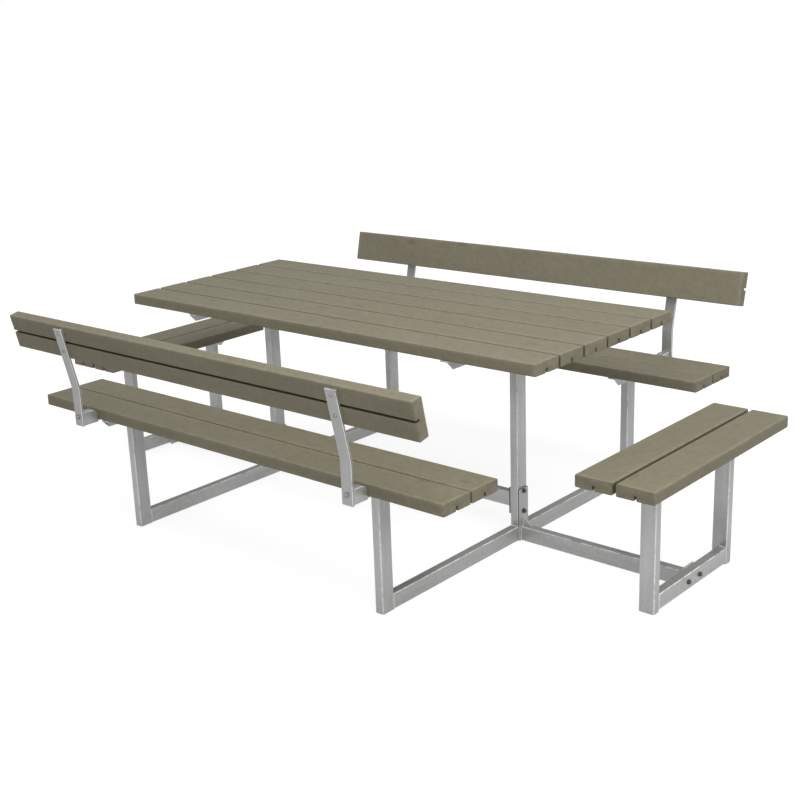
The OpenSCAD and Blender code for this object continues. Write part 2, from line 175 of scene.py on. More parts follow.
class StageSettings(bpy.types.PropertyGroup):
    """Camera, floor and light."""

    eye: FloatVectorProperty(
        name="Eye", description="Place of the camera", default=(2.8515, -3.2246, 1.7004), unit="LENGTH")
    heading: FloatProperty(
        name="Heading", description="Camera turned left of +Y", default=math.radians(43.79),
        subtype="ANGLE")
    pitch: FloatProperty(
        name="Pitch", description="Camera tilted up", default=math.radians(-16.98), subtype="ANGLE")
    roll: FloatProperty(
        name="Roll", description="Camera rolled anticlockwise", default=math.radians(-2.91),
        subtype="ANGLE")
    lens: FloatProperty(name="Lens", description="Focal length in millimetres", default=57.83, min=10.0)
    shift: FloatProperty(name="Shift", description="Sideways shift of the lens", default=0.0788)
    floor_colour: FloatVectorProperty(
        name="Floor", description="Colour of the studio floor", default=(0.35, 0.35, 0.35), min=0.0,
        max=1.0, subtype="COLOR")
    floor_glow: FloatProperty(name="Floor glow", description="How far the floor is washed out for the camera",
                              default=0.8, min=0.0)
    sky: FloatProperty(name="Sky", description="Strength of the even light", default=0.66, min=0.0)
    key: FloatProperty(name="Key light", description="Power of the large soft lamp", default=150.0, min=0.0)


SETTINGS = {
    "picnic_planks": PlankSettings,
    "picnic_steel": SteelSettings,
    "picnic_fasteners": FastenerSettings,
    "picnic_stage": StageSettings,
}


# ---------- node tree helpers ----------

def put(tree, socket, value):
    """Links another node's socket to an input, or sets a plain value on it."""
    if isinstance(value, bpy.types.NodeSocket):
        tree.links.new(value, socket)
    else:
        socket.default_value = value


def add(tree, kind, inputs=None, **settings):
    """Adds a node, sets its properties and feeds its inputs with sockets or plain values."""
    item = tree.nodes.new(kind)
    for key, value in settings.items():
        setattr(item, key, value)
    for key, value in (inputs or {}).items():
        put(tree, item.inputs[key], value)
    return item


def read(tree, kind):
    """First output of a new node that needs no inputs."""
    return tree.nodes.new(kind).outputs[0]


def calc(tree, operation, *values, clamp=False):
    """Result of one scalar operation on sockets or numbers."""
    item = add(tree, "ShaderNodeMath", dict(enumerate(values)), operation=operation, use_clamp=clamp)
    return item.outputs[0]


def times(tree, a, b, clamp=False):
    """Product of two sockets or numbers."""
    return calc(tree, "MULTIPLY", a, b, clamp=clamp)


def over(tree, a, b, clamp=False):
    """One socket or number divided by another."""
    return calc(tree, "DIVIDE", a, b, clamp=clamp)


def plus(tree, a, b, clamp=False):
    """Sum of two sockets or numbers."""
    return calc(tree, "ADD", a, b, clamp=clamp)


def minus(tree, a, b, clamp=False):
    """One socket or number less another."""
    return calc(tree, "SUBTRACT", a, b, clamp=clamp)


def plus_share(tree, total, part, share, clamp=False):
    """A total with a share of another value on top."""
    return plus(tree, total, times(tree, part, share), clamp)


def halves(tree, given, *keys):
    """Half of each of the given sizes."""
    return [times(tree, given[key], 0.5) for key in keys]


def vector_calc(tree, operation, *values):
    """Result of one vector operation."""
    return add(tree, "ShaderNodeVectorMath", dict(enumerate(values)), operation=operation).outputs[0]


def joined(tree, x, y, z):
    """A vector put together from three values."""
    return add(tree, "ShaderNodeCombineXYZ", {0: x, 1: y, 2: z}).outputs[0]


def parted(tree, vector):
    """The three values of a vector."""
    return add(tree, "ShaderNodeSeparateXYZ", {0: vector}).outputs


def ramp(tree, value, low, high, to_low=0.0, to_high=1.0):
    """Smooth step of a value from one range to another."""
    item = add(tree, "ShaderNodeMapRange", {0: value, 1: low, 2: high, 3: to_low, 4: to_high},
               interpolation_type="SMOOTHSTEP")
    return item.outputs[0]


def blend(tree, factor, a, b):
    """Mix of two colours."""
    item = add(tree, "ShaderNodeMix", data_type="RGBA")
    put(tree, item.inputs[0], factor)
    for index, value in ((6, a), (7, b)):
        put(tree, item.inputs[index], value if isinstance(value, bpy.types.NodeSocket) else (*value, 1.0))
    return item.outputs[2]


def noise(tree, vector, scale, detail=3.0, roughness=0.5):
    """Value of a noise pattern, about 0 to 1."""
    item = add(tree, "ShaderNodeTexNoise", {
        "Vector": vector, "Scale": scale, "Detail": detail, "Roughness": roughness})
    return item.outputs[0]


def new_tree(name, kind, inputs, outputs):
    """A node group with its named inputs and outputs, and its input and output nodes."""
    tree = bpy.data.node_groups.new(name, kind)
    for in_out, sockets in (("INPUT", inputs), ("OUTPUT", outputs)):
        for title, (socket_kind, default) in sockets.items():
            socket = tree.interface.new_socket(
                name=title, in_out=in_out, socket_type="NodeSocket" + socket_kind)
            if default is not None:
                socket.default_value = default
    return tree, tree.nodes.new("NodeGroupInput").outputs, tree.nodes.new("NodeGroupOutput").inputs


def shape_tree(name, **inputs):
    """A Geometry Nodes group that takes a mesh, sizes and a material and gives a mesh."""
    sockets = {"Geometry": ("Geometry", None)}
    sockets.update({key.replace("_", " ").capitalize(): value for key, value in inputs.items()})
    sockets["Material"] = ("Material", None)
    return new_tree(name, "GeometryNodeTree", sockets, {"Geometry": ("Geometry", None)})


def close_tree(tree, geometry, material, result):
    """Ends a shape tree: instances become real, and the result gets its material."""
    real = add(tree, "GeometryNodeRealizeInstances", {"Geometry": geometry}).outputs[0]
    coated = add(tree, "GeometryNodeSetMaterial", {"Geometry": real, "Material": material})
    tree.links.new(coated.outputs[0], result)


def smoothed(tree, geometry, angle):
    """Smooth faces with sharp edges past the angle."""
    soft = add(tree, "GeometryNodeSetShadeSmooth", {"Geometry": geometry, "Shade Smooth": True}).outputs[0]
    bend = read(tree, "GeometryNodeInputMeshEdgeAngle")
    sharp = add(tree, "FunctionNodeCompare", {0: bend, 1: angle}, operation="GREATER_THAN").outputs[0]
    return add(tree, "GeometryNodeSetShadeSmooth", {"Geometry": soft, "Selection": sharp,
                                                    "Shade Smooth": False}, domain="EDGE").outputs[0]


def stored(tree, geometry, name, value, kind="FLOAT"):
    """Stores a named value on every point."""
    return add(tree, "GeometryNodeStoreNamedAttribute", {"Geometry": geometry, "Name": name, "Value": value},
               data_type=kind, domain="POINT").outputs[0]


def captured(tree, geometry, value, name):
    """Captures a value on the points of a curve or mesh: the geometry and the captured value."""
    item = tree.nodes.new("GeometryNodeCaptureAttribute")
    item.capture_items.new("FLOAT", name)
    tree.links.new(geometry, item.inputs[0])
    tree.links.new(value, item.inputs[1])
    return item.outputs[0], item.outputs[1]


def edge_nearness(tree, half_sizes, reach, with_ends=True):
    """1 on the outer edges of a block of the given half sizes, fading to 0 at the reach."""
    place = vector_calc(tree, "ABSOLUTE", read(tree, "GeometryNodeInputPosition"))
    dx, dy, dz = parted(tree, vector_calc(tree, "SUBTRACT", half_sizes, place))
    low, high = (calc(tree, operation, dy, dz) for operation in ("MINIMUM", "MAXIMUM"))
    middle = calc(tree, "MAXIMUM", low, calc(tree, "MINIMUM", high, dx)) if with_ends else high
    return ramp(tree, middle, 0.0, reach, 1.0, 0.0)


# ---------- shapes made by Geometry Nodes ----------

RINGS_PER_END = 4  # rings of points that round each end of a plank
SECTION_STEP = 12 * MM  # distance between points along a plank and across its flats
CORNER_STEPS = 5  # steps in each rounded corner of a plank's section
SMOOTH_ANGLE = math.radians(40)


def plank_outline(tree, width, thickness, edge, groove_w, groove_d):
    """Closed outline of a plank's section: eight corners, rounded, with points along the flats."""
    half_w = times(tree, width, 0.5)
    half_t = times(tree, thickness, 0.5)
    half_g = times(tree, groove_w, 0.5)
    minus_w, minus_t, minus_g = (times(tree, half, -1.0) for half in (half_w, half_t, half_g))
    groove_end = minus(tree, half_t, groove_d)
    corners = [(half_w, half_t), (half_g, half_t), (half_g, groove_end), (minus_g, groove_end),
               (minus_g, half_t), (minus_w, half_t), (minus_w, minus_t), (half_w, minus_t)]
    index = read(tree, "GeometryNodeInputIndex")
    place, radius = (add(tree, "GeometryNodeIndexSwitch", data_type=kind) for kind in ("VECTOR", "FLOAT"))
    for item in (place, radius):
        for _ in range(len(corners) - 2):
            item.index_switch_items.new()
        tree.links.new(index, item.inputs[0])
    mouth = times(tree, groove_w, 0.37)
    arch = times(tree, groove_w, 0.45)
    for i, (x, y) in enumerate(corners, 1):
        tree.links.new(joined(tree, x, y, 0.0), place.inputs[i])
        tree.links.new({2: mouth, 3: arch, 4: arch, 5: mouth}.get(i, edge), radius.inputs[i])
    ring = add(tree, "GeometryNodeCurvePrimitiveCircle", {"Resolution": len(corners)}).outputs[0]
    shaped = add(tree, "GeometryNodeSetPosition", {"Geometry": ring, "Position": place.outputs[0]}).outputs[0]
    rounded = add(tree, "GeometryNodeFilletCurve", {
        "Curve": shaped, "Radius": radius.outputs[0], "Count": CORNER_STEPS, "Limit Radius": True},
        mode="POLY").outputs[0]
    here = read(tree, "GeometryNodeInputPosition")
    points = float(len(corners) * (CORNER_STEPS + 1))
    after = add(tree, "GeometryNodeFieldAtIndex", {
        "Value": here, "Index": calc(tree, "MODULO", plus(tree, index, 1.0), points)},
        data_type="FLOAT_VECTOR").outputs[0]
    gap = vector_calc(tree, "DISTANCE", here, after).node.outputs[1]
    cuts = calc(tree, "FLOOR", over(tree, gap, SECTION_STEP))
    return add(tree, "GeometryNodeSubdivideCurve", {"Curve": rounded, "Cuts": cuts}).outputs[0]


def plank_tree():
    """A plank along X: rounded long edges, a groove below, eased ends and slightly wavy faces."""
    tree, given, result = shape_tree(
        "Plank", length=("Float", 1.0), width=("Float", 0.118), thickness=("Float", 0.038),
        edge_radius=("Float", 4 * MM), groove_width=("Float", 7 * MM), groove_depth=("Float", 15 * MM),
        end_ease=("Float", 1.5 * MM), waviness=("Float", 0.3 * MM), neighbour_below=("Float", 0.0),
        neighbour_above=("Float", 0.0), shade=("Float", 0.0), rings=("Int", 100), seed=("Int", 0))
    length, rings, ease, seed = given["Length"], given["Rings"], given["End ease"], given["Seed"]
    index = read(tree, "GeometryNodeInputIndex")
    last = minus(tree, rings, 1.0)
    from_end = calc(tree, "MINIMUM", index, minus(tree, last, index))
    side = calc(tree, "SIGN", minus(tree, index, times(tree, last, 0.5)))
    turn = times(tree, over(tree, from_end, RINGS_PER_END - 1.0, clamp=True), math.pi / 2)
    along = over(tree, minus(tree, index, RINGS_PER_END - 1.0),
                 minus(tree, last, 2.0 * (RINGS_PER_END - 1.0)), clamp=True)
    straight = minus(tree, length, times(tree, ease, 2.0))
    inner = times(tree, minus(tree, along, 0.5), straight)
    cap = times(tree, times(tree, calc(tree, "COSINE", turn), ease), side)
    inset = times(tree, minus(tree, 1.0, calc(tree, "SINE", turn)), ease)
    line = add(tree, "GeometryNodeCurvePrimitiveLine", {"Start": (0.0, 0.0, 0.0), "End": (1.0, 0.0, 0.0)})
    spine = add(tree, "GeometryNodeResampleCurve", {"Curve": line.outputs[0], "Count": rings}).outputs[0]
    spine, inset = captured(tree, spine, inset, "Inset")
    spine = add(tree, "GeometryNodeSetPosition", {
        "Geometry": spine, "Position": joined(tree, plus(tree, inner, cap), 0.0, 0.0)}).outputs[0]
    outline = plank_outline(tree, given["Width"], given["Thickness"], given["Edge radius"],
                            given["Groove width"], given["Groove depth"])
    skin = add(tree, "GeometryNodeCurveToMesh", {"Curve": spine, "Profile Curve": outline}).outputs[0]
    block = add(tree, "GeometryNodeCurveToMesh", {"Curve": spine, "Profile Curve": outline,
                                                  "Fill Caps": True}).outputs[0]
    outward = add(tree, "GeometryNodeSampleIndex", {
        "Geometry": skin, "Value": read(tree, "GeometryNodeInputNormal"), "Index": index},
        data_type="FLOAT_VECTOR").outputs[0]
    offset = joined(tree, *(times(tree, seed, step) for step in (3.71, 1.37, 0.83)))
    place = read(tree, "GeometryNodeInputPosition")
    stretched = vector_calc(tree, "MULTIPLY", vector_calc(tree, "ADD", place, offset), (5.0, 24.0, 24.0))
    dip = times(tree, ramp(tree, noise(tree, stretched, 1.0), 0.25, 0.75), given["Waviness"])
    move = vector_calc(tree, "SCALE", outward)
    tree.links.new(times(tree, plus(tree, inset, dip), -1.0), move.node.inputs["Scale"])
    block = add(tree, "GeometryNodeSetPosition", {"Geometry": block, "Offset": move}).outputs[0]
    half = joined(tree, *halves(tree, given, "Length", "Width", "Thickness"))
    block = stored(tree, block, "edge", edge_nearness(tree, half, 9 * MM))
    end_gap = minus(tree, times(tree, length, 0.5), calc(tree, "ABSOLUTE", parted(tree, place)[0]))
    end = ramp(tree, end_gap, 0.0, times(tree, ease, 0.9), 1.0, 0.0)
    block = stored(tree, block, "end", end)
    tone = add(tree, "FunctionNodeRandomValue", {"ID": 0, "Seed": seed}).outputs["Value"]
    block = stored(tree, block, "tone", plus(tree, tone, given["Shade"]))
    # mask for the groove dirt and the painted shade in the gaps, kept off the eased ends
    dirt_and_shade_mask = times(tree, cavity(tree, given, place), minus(tree, 1.0, end))
    block = stored(tree, block, "cavity", dirt_and_shade_mask)
    block = stored(tree, block, "grain", vector_calc(tree, "ADD", place, offset), "FLOAT_VECTOR")
    close_tree(tree, smoothed(tree, block, SMOOTH_ANGLE), given["Material"], result[0])
    return tree


def cavity(tree, given, place):
    """1 where light and rain don't reach: inside the groove, for dirt, and on long sides next to another
    plank, for painted shade in the gaps.
    """
    _, across, deep = parted(tree, place)
    half_w, half_t = halves(tree, given, "Width", "Thickness")
    slot = times(tree, given["Groove width"], 0.5)
    from_slot = minus(tree, calc(tree, "ABSOLUTE", across), slot)
    depth = plus(tree, deep, half_t)
    above_slot = minus(tree, depth, given["Groove depth"])
    groove = times(tree, ramp(tree, from_slot, 0.2 * MM, 1.5 * MM, 1.0, 0.0),
                   ramp(tree, depth, 0.5 * MM, 3 * MM))
    groove = times(tree, groove, ramp(tree, above_slot, 1 * MM, 3 * MM, 1.0, 0.0))
    sunk = ramp(tree, minus(tree, half_t, deep), 1 * MM, 6 * MM)
    for key, sign in (("Neighbour below", -1.0), ("Neighbour above", 1.0)):
        gap = minus(tree, half_w, times(tree, across, sign))
        side = times(tree, ramp(tree, gap, 0.6 * MM, 2.2 * MM, 1.0, 0.0), sunk)
        groove = calc(tree, "MAXIMUM", groove, times(tree, side, given[key]))
    return groove


def tube_tree():
    """A straight square-cut tube along X, with round corners, a real wall and slightly round rims."""
    tree, given, result = shape_tree(
        "Tube", length=("Float", 1.0), width=("Float", 30 * MM), height=("Float", 50 * MM),
        wall=("Float", 2 * MM), corner_radius=("Float", 4 * MM), seed=("Int", 0))
    wall = given["Wall"]
    loop = add(tree, "GeometryNodeCurvePrimitiveQuadrilateral", {
        "Width": minus(tree, given["Width"], wall),
        "Height": minus(tree, given["Height"], wall)}).outputs[0]
    middle_radius = minus(tree, given["Corner radius"], times(tree, wall, 0.5))
    loop = add(tree, "GeometryNodeFilletCurve", {
        "Curve": loop, "Radius": middle_radius, "Count": 7, "Limit Radius": True}, mode="POLY").outputs[0]
    strip = add(tree, "GeometryNodeCurvePrimitiveQuadrilateral", {"Width": wall, "Height": given["Length"]})
    strip = add(tree, "GeometryNodeFilletCurve", {"Curve": strip.outputs[0], "Radius": 0.5 * MM, "Count": 3,
                                                  "Limit Radius": True}, mode="POLY").outputs[0]
    shell = add(tree, "GeometryNodeCurveToMesh", {"Curve": loop, "Profile Curve": strip}).outputs[0]
    quarter = add(tree, "FunctionNodeAxisAngleToRotation", {"Axis": (0.0, 1.0, 0.0), "Angle": math.pi / 2})
    shell = add(tree, "GeometryNodeTransform", {"Geometry": shell, "Rotation": quarter.outputs[0]}).outputs[0]
    half = joined(tree, *halves(tree, given, "Length", "Height", "Width"))
    # nearness to the rounded corners, which carries the painted highlight
    shell = stored(tree, shell, "edge", edge_nearness(tree, half, 4 * MM, False))
    offset = joined(tree, given["Seed"], times(tree, given["Seed"], 0.7), 0.0)
    here = read(tree, "GeometryNodeInputPosition")
    shell = stored(tree, shell, "run", vector_calc(tree, "ADD", here, offset), "FLOAT_VECTOR")
    tone = add(tree, "FunctionNodeRandomValue", {"ID": 0, "Seed": given["Seed"]}).outputs["Value"]
    shell = stored(tree, shell, "tone", tone)
    close_tree(tree, smoothed(tree, shell, SMOOTH_ANGLE), given["Material"], result[0])
    return tree


def weld_tree():
    """A rippled weld bead along every loose edge of the given mesh."""
    tree, given, result = shape_tree(
        "Weld", bead_radius=("Float", 2 * MM), ripple=("Float", 1.1 * MM), unevenness=("Float", 0.3),
        seed=("Int", 0))
    runs = add(tree, "GeometryNodeMeshToCurve", {"Mesh": given["Geometry"]}).outputs[0]
    runs = add(tree, "GeometryNodeResampleCurve", {
        "Curve": runs, "Length": given["Ripple"]}, mode="LENGTH").outputs[0]
    step = calc(tree, "SINE", times(tree, read(tree, "GeometryNodeInputIndex"), 1.9))
    place = read(tree, "GeometryNodeInputPosition")
    shifted = vector_calc(tree, "ADD", place, joined(tree, given["Seed"], 0.0, 0.0))
    uneven = times(tree, minus(tree, noise(tree, shifted, 160.0), 0.5), given["Unevenness"])
    swell = plus(tree, plus_share(tree, 0.92, step, 0.09), uneven)
    ring = add(tree, "GeometryNodeCurvePrimitiveCircle", {
        "Resolution": 8, "Radius": given["Bead radius"]}).outputs[0]
    bead = add(tree, "GeometryNodeCurveToMesh", {"Curve": runs, "Profile Curve": ring, "Scale": swell,
                                                 "Fill Caps": True}).outputs[0]
    bead = stored(tree, bead, "tone", 0.35)
    # a share of the painted edge highlight on the beads
    bead = stored(tree, bead, "edge", 0.45)
    close_tree(tree, smoothed(tree, bead, math.radians(60)), given["Material"], result[0])
    return tree


def scatter_tree():
    """One fastener on every point of the given mesh, aimed along the point's own direction."""
    tree, given, result = shape_tree(
        "Fasteners", fastener=("Object", None), shade=("Float", 0.5), seed=("Int", 0))
    aim = add(tree, "GeometryNodeInputNamedAttribute", {"Name": "aim"}, data_type="FLOAT_VECTOR").outputs[0]
    aimed = add(tree, "FunctionNodeAlignRotationToVector", {"Vector": aim}).outputs[0]
    angle = add(tree, "FunctionNodeRandomValue", {"Min": 0.0, "Max": math.tau, "Seed": given["Seed"]})
    spin = add(tree, "FunctionNodeAxisAngleToRotation", {
        "Axis": (0.0, 0.0, 1.0), "Angle": angle.outputs["Value"]})
    turned = add(tree, "FunctionNodeRotateRotation", {"Rotation": aimed, "Rotate By": spin.outputs[0]},
                 rotation_space="LOCAL").outputs[0]
    single = add(tree, "GeometryNodeObjectInfo", {"Object": given["Fastener"]}).outputs["Geometry"]
    crowd = add(tree, "GeometryNodeInstanceOnPoints", {"Points": given["Geometry"], "Instance": single,
                                                       "Rotation": turned}).outputs[0]
    real = add(tree, "GeometryNodeRealizeInstances", {"Geometry": crowd}).outputs[0]
    real = stored(tree, real, "tone", given["Shade"])
    close_tree(tree, smoothed(tree, real, math.radians(35)), given["Material"], result[0])
    return tree


# ---------- pieces ----------

def new_object(name, mesh):
    """An object at the origin, linked to the scene."""
    piece = bpy.data.objects.new(name, mesh)
    bpy.context.scene.collection.objects.link(piece)
    return piece


def grown(name, tree, values, source=None):
    """Runs a shape tree with its inputs set by name and keeps the result as a plain mesh."""
    piece = new_object(name, source or bpy.data.meshes.new(name))
    modifier = piece.modifiers.new("shape", "NODES")
    modifier.node_group = tree
    for item in tree.interface.items_tree:
        if item.in_out == "INPUT" and item.name in values:
            modifier[item.identifier] = values[item.name]
    bpy.context.view_layer.update()
    graph = bpy.context.evaluated_depsgraph_get()
    mesh = bpy.data.meshes.new_from_object(piece.evaluated_get(graph), depsgraph=graph)
    piece.modifiers.remove(modifier)
    piece.data = mesh
    mesh.name = name
    if not mesh.polygons:
        raise RuntimeError(f"{name} came out empty")
    return piece


def settle(piece, slot, *nodes):
    """Puts a finished piece on the table's body and in place of its CAD nodes; its slot is not used."""
    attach(piece, ROOT)
    if nodes:
        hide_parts(*nodes)


def spread_out(lo, hi):
    """Middle and size of a box."""
    return (lo + hi) / 2, hi - lo


def welded_mesh(node):
    """Vertices and faces of a CAD node with its doubles merged, as a bmesh."""
    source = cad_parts[node].data
    mesh = bmesh.new()
    points = [mesh.verts.new(vertex.co) for vertex in source.vertices]
    mesh.verts.ensure_lookup_table()
    for face in source.polygons:
        corners = [points[i] for i in face.vertices]
        if len(set(corners)) == len(corners) and not mesh.faces.get(corners):
            mesh.faces.new(corners)
    bmesh.ops.remove_doubles(mesh, verts=mesh.verts, dist=0.01 * MM)
    return mesh


def islands(node):
    """The separate solids of a CAD node, each as an array of its points."""
    mesh = welded_mesh(node)
    left = set(mesh.verts)
    groups = []
    while left:
        first = left.pop()
        group, queue = [first], [first]
        while queue:
            for edge in queue.pop().link_edges:
                for vertex in edge.verts:
                    if vertex in left:
                        left.remove(vertex)
                        group.append(vertex)
                        queue.append(vertex)
        groups.append(np.array([tuple(vertex.co) for vertex in group]))
    mesh.free()
    groups.sort(key=lambda points: tuple(points.mean(axis=0).round(4)))
    return groups


def fastener_places(node):
    """For each fastener of a CAD node: the outer end of its head, its direction and its length."""
    places = []
    for points in islands(node):
        middle = points.mean(axis=0)
        axis = np.linalg.svd(points - middle, full_matrices=False)[2][0]
        reach = (points - middle) @ axis
        away = np.linalg.norm(points - middle - np.outer(reach, axis), axis=1)
        low, high = reach.min(), reach.max()
        if away[reach < low + 0.1 * MM].max() < away[reach > high - 0.1 * MM].max():
            axis, low, high = -axis, -high, -low
        places.append((Vector(middle + axis * low), Vector(axis), high - low))
    return places


def paint_rim_shadow(mesh, reach):
    """Marks the narrow faces of plates that lie flat against a post, up to the given distance out, for a
    painted shadow line round the plate.
    """
    rim = mesh.attributes.new("cavity", "FLOAT", "FACE")
    for item, face in zip(rim.data, mesh.polygons):
        item.value = float(abs(face.normal.x) < 0.5 and abs(face.center.x) < reach)


def eased(node, ease, rim_shadow_reach, shade):
    """A steel plate or bar with the CAD node's own shape, rounded edges and one shade."""
    mesh = welded_mesh(node)
    bmesh.ops.dissolve_limit(mesh, angle_limit=math.radians(0.5), verts=mesh.verts, edges=mesh.edges)
    sharp = [edge for edge in mesh.edges if edge.is_manifold and edge.calc_length() > HOLE_EDGE
             and edge.calc_face_angle() > math.radians(30)]
    # the bevel faces carry the painted edge highlight
    highlight_faces = mesh.faces.layers.float.new("edge")
    rounded = bmesh.ops.bevel(mesh, geom=sharp, offset=ease, segments=3, profile=0.5, affect="EDGES",
                              clamp_overlap=True)
    for face in rounded["faces"]:
        face[highlight_faces] = 1.0
    bmesh.ops.dissolve_degenerate(mesh, dist=0.002 * MM, edges=mesh.edges)
    result = bpy.data.meshes.new(node + "_steel")
    mesh.to_mesh(result)
    mesh.free()
    result.shade_smooth()
    result.set_sharp_from_angle(angle=math.radians(32))
    result.materials.append(finish_of(STEEL_SLOT))
    paint_rim_shadow(result, rim_shadow_reach)
    for item in result.attributes.new("tone", "FLOAT", "POINT").data:
        item.value = shade
    settle(new_object(node + "_steel", result), STEEL_SLOT, node)


def turned(mesh, rings, sides=36, facets=0):
    """Adds a closed turned shape: rings of (height, radius), with the half width across flats where there
    are facets."""
    loops = []
    for height, radius, *flat in rings:
        loop = []
        for k in range(sides):
            angle = math.tau * k / sides
            away = radius
            if flat and facets:
                off = (angle + math.pi / facets) % (math.tau / facets) - math.pi / facets
                away = min(radius, flat[0] / math.cos(off))
            loop.append(mesh.verts.new((away * math.cos(angle), away * math.sin(angle), height)))
        loops.append(loop)
    for lower, upper in zip(loops, loops[1:]):
        for k in range(sides):
            mesh.faces.new((lower[k], lower[(k + 1) % sides], upper[(k + 1) % sides], upper[k]))
    mesh.faces.new(list(reversed(loops[0])))
    mesh.faces.new(loops[-1])


def fastener_object(name, build):
    """A single fastener drawn by a function, its head's outer end at z = 0 and its tip along +Z."""
    mesh = bmesh.new()
    build(mesh)
    bmesh.ops.recalc_face_normals(mesh, faces=mesh.faces)
    result = bpy.data.meshes.new(name)
    mesh.to_mesh(result)
    mesh.free()
    return new_object(name, result)


def screw_shape(diameter, length):
    """A pan-head screw with a hexagonal recess, a shank and a pointed tip."""
    def build(mesh):
        head, socket, head_h = diameter, 0.42 * diameter, SCREW_HEAD
        turned(mesh, [
            (0.45 * head_h, 0.2 * socket, 0.2 * socket), (0.5 * head_h, socket * 1.16, socket),
            (0.06 * head_h, socket * 1.16, socket), (0.0, 0.62 * head), (0.1 * head_h, 0.78 * head),
            (0.35 * head_h, 0.93 * head), (0.7 * head_h, head), (head_h, 0.99 * head)], facets=6)
        grip, crest, root = [], 0.5 * diameter, 0.38 * diameter
        turns = int((length - head_h - 2 * diameter) / (0.45 * diameter))
        for k in range(turns):
            z = head_h + 0.4 * diameter + 0.45 * diameter * k
            grip += [(z, root), (z + 0.2 * diameter, crest), (z + 0.25 * diameter, crest)]
        turned(mesh, [(0.9 * head_h, 0.5 * diameter), *grip, (length - 0.05 * MM, 0.06 * diameter)], sides=14)
    return build


def bolt_shape(diameter, length):
    """A hexagon bolt with a washer below its head, and a washer and a nut on its other end."""
    def build(mesh):
        flat, head_h, washer_t, past = 0.8125 * diameter, 0.65 * diameter, WASHER, BOLT_PAST_NUT
        corner, nut_low = 1.155 * flat, length - past - head_h
        turned(mesh, [
            (0.28 * head_h, 0.3 * flat), (0.1 * head_h, 0.62 * flat), (0.0, 0.74 * flat, 0.9 * flat),
            (0.0, 0.9 * flat, flat), (0.22 * head_h, corner, flat), (head_h, corner, flat)], facets=6)
        for low in (head_h, nut_low - washer_t):
            turned(mesh, [(low, 0.97 * diameter), (low + 0.15 * MM, diameter),
                          (low + washer_t - 0.15 * MM, diameter), (low + washer_t, 0.97 * diameter)])
        turned(mesh, [
            (nut_low, 0.9 * flat, flat), (nut_low + 0.14 * head_h, corner, flat),
            (length - past - 0.14 * head_h, corner, flat), (length - past, 0.9 * flat, flat),
            (length - past - 0.02 * MM, 0.56 * diameter), (length - past - 0.5 * MM, 0.5 * diameter)],
            facets=6)
        thread = []
        for k in range(int((past + head_h) / (0.14 * diameter))):
            z = nut_low + 0.14 * diameter * k
            thread += [(z, 0.45 * diameter), (z + 0.07 * diameter, 0.5 * diameter)]
        turned(mesh, [(head_h, 0.46 * diameter), *thread, (length - 0.3 * MM, 0.46 * diameter),
                      (length, 0.38 * diameter)], sides=20)
    return build


def fasteners(node, shape, shade):
    """All fasteners of one CAD node, each turned a little differently."""
    name, places = node + "_zinc", fastener_places(node)
    single = fastener_object(name + "_single", shape(sum(place[2] for place in places) / len(places)))
    dots = bpy.data.meshes.new(name)
    dots.from_pydata([place[0] for place in places], [], [])
    aims = dots.attributes.new("aim", "FLOAT_VECTOR", "POINT")
    for item, (_, aim, _) in zip(aims.data, places):
        item.vector = aim
    piece = grown(name, library("Fasteners"), {
        "Fastener": single, "Seed": bpy.context.scene.picnic_fasteners.seed, "Shade": shade,
        "Material": finish_of(ZINC_SLOT)}, dots)
    bpy.data.objects.remove(single)
    settle(piece, ZINC_SLOT, node)


# ---------- surface patterns shared by the materials ----------

def mottle_group():
    """Soft clouds of two sizes."""
    tree, given, result = new_tree("Mottle", "ShaderNodeTree", {
        "Vector": ("Vector", None), "Coarse": ("Float", 6.0), "Fine": ("Float", 60.0),
        "Share": ("Float", 0.35)}, {"Value": ("Float", None)})
    broad = noise(tree, given["Vector"], given["Coarse"], 2.0)
    close = noise(tree, given["Vector"], given["Fine"], 4.0, 0.6)
    keep = minus(tree, 1.0, given["Share"])
    total = plus_share(tree, times(tree, broad, keep), close, given["Share"])
    tree.links.new(total, result["Value"])
    return tree


def crystal_group():
    """Flat zinc crystals with ragged edges: a grey for each, and a faint relief."""
    tree, given, result = new_tree("Zinc crystals", "ShaderNodeTree", {
        "Vector": ("Vector", None), "Crystals per metre": ("Float", 70.0), "Ragged": ("Float", 0.012),
    }, {"Grey": ("Float", None), "Relief": ("Float", None)})
    bend = add(tree, "ShaderNodeTexNoise", {
        "Vector": given["Vector"], "Scale": 45.0, "Detail": 3.0}).outputs[1]
    push = vector_calc(tree, "SCALE", vector_calc(tree, "SUBTRACT", bend, (0.5, 0.5, 0.5)))
    tree.links.new(given["Ragged"], push.node.inputs["Scale"])
    place = vector_calc(tree, "ADD", given["Vector"], push)
    cells = add(tree, "ShaderNodeTexVoronoi", {"Vector": place, "Scale": given["Crystals per metre"]})
    small = add(tree, "ShaderNodeTexVoronoi", {
        "Vector": place, "Scale": times(tree, given["Crystals per metre"], 3.1)})
    big_grey = parted(tree, cells.outputs["Color"])[0]
    small_grey = parted(tree, small.outputs["Color"])[1]
    grey = plus_share(tree, times(tree, big_grey, 0.6), small_grey, 0.4)
    tree.links.new(grey, result["Grey"])
    streak = noise(tree, vector_calc(tree, "MULTIPLY", place, (420.0, 420.0, 120.0)), 1.0, 2.0)
    tree.links.new(plus_share(tree, times(tree, grey, 0.6), streak, 0.4), result["Relief"])
    return tree


